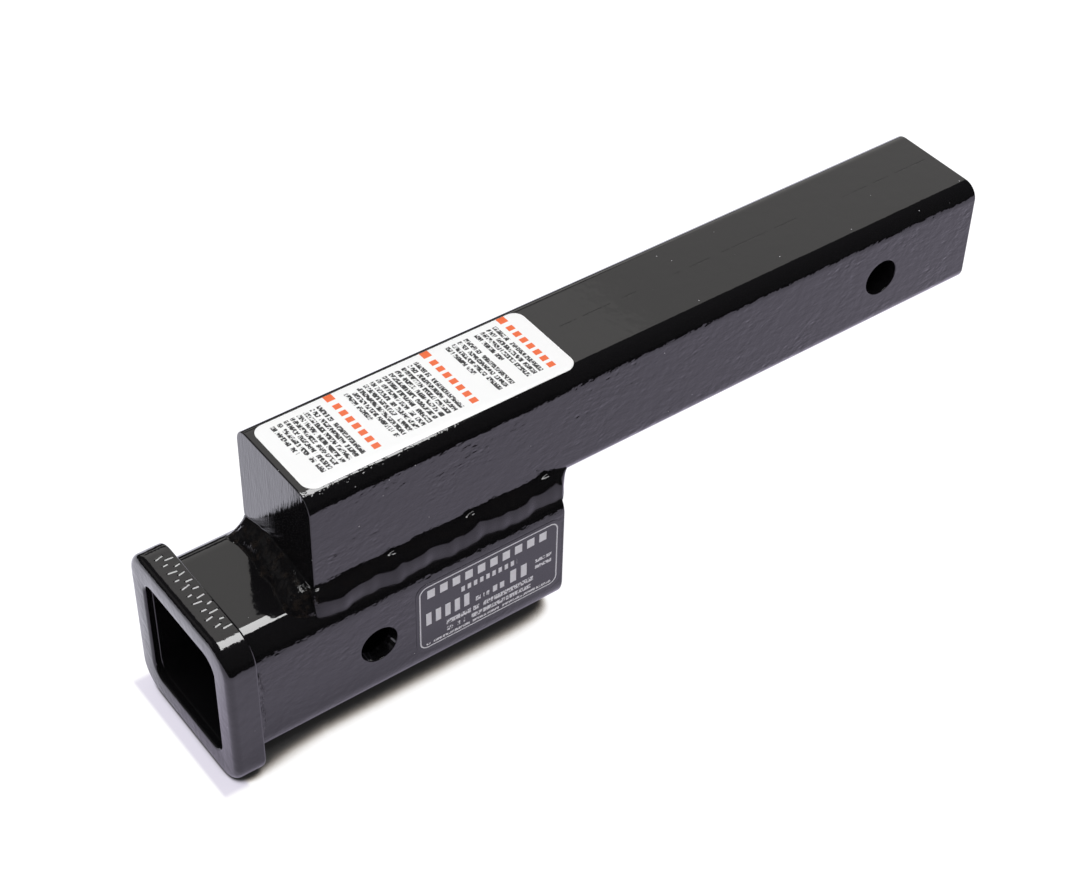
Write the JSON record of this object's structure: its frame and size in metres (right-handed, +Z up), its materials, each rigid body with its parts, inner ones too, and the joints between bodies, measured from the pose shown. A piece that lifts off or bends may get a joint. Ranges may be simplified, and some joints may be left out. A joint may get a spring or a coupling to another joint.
{
  "type": "hitch receiver extender",
  "caption": "Solid square shank welded on top of a short square receiver tube with a reinforcing collar; cross-drilled for hitch pins.",
  "frame": {"origin": "centre of the pin hole through the shank, on the shank's long axis", "axes": "+X along the shank to its free end, +Y across along the pin holes, +Z up from the receiver tube to the shank"},
  "size_m": [0.378, 0.0734, 0.1195],
  "materials": {
    "black_paint": "gloss black paint over hot-rolled steel",
    "cast_paint": "gloss black paint over a cast ring",
    "weld_paint": "gloss black paint over rippled weld beads",
    "white_vinyl": "white printed vinyl",
    "dark_vinyl": "dark printed vinyl"
  },
  "bodies": {
    "root": {"shank": "black_paint", "receiver_tube": "black_paint", "receiver_collar": "cast_paint", "front_weld": "weld_paint", "near_side_weld": "weld_paint", "far_side_weld": "weld_paint", "rear_weld": "weld_paint", "collar_weld_near": "weld_paint", "collar_weld_far": "weld_paint", "top_label": "white_vinyl", "side_label": "dark_vinyl"}
  },
  "joints": []
}
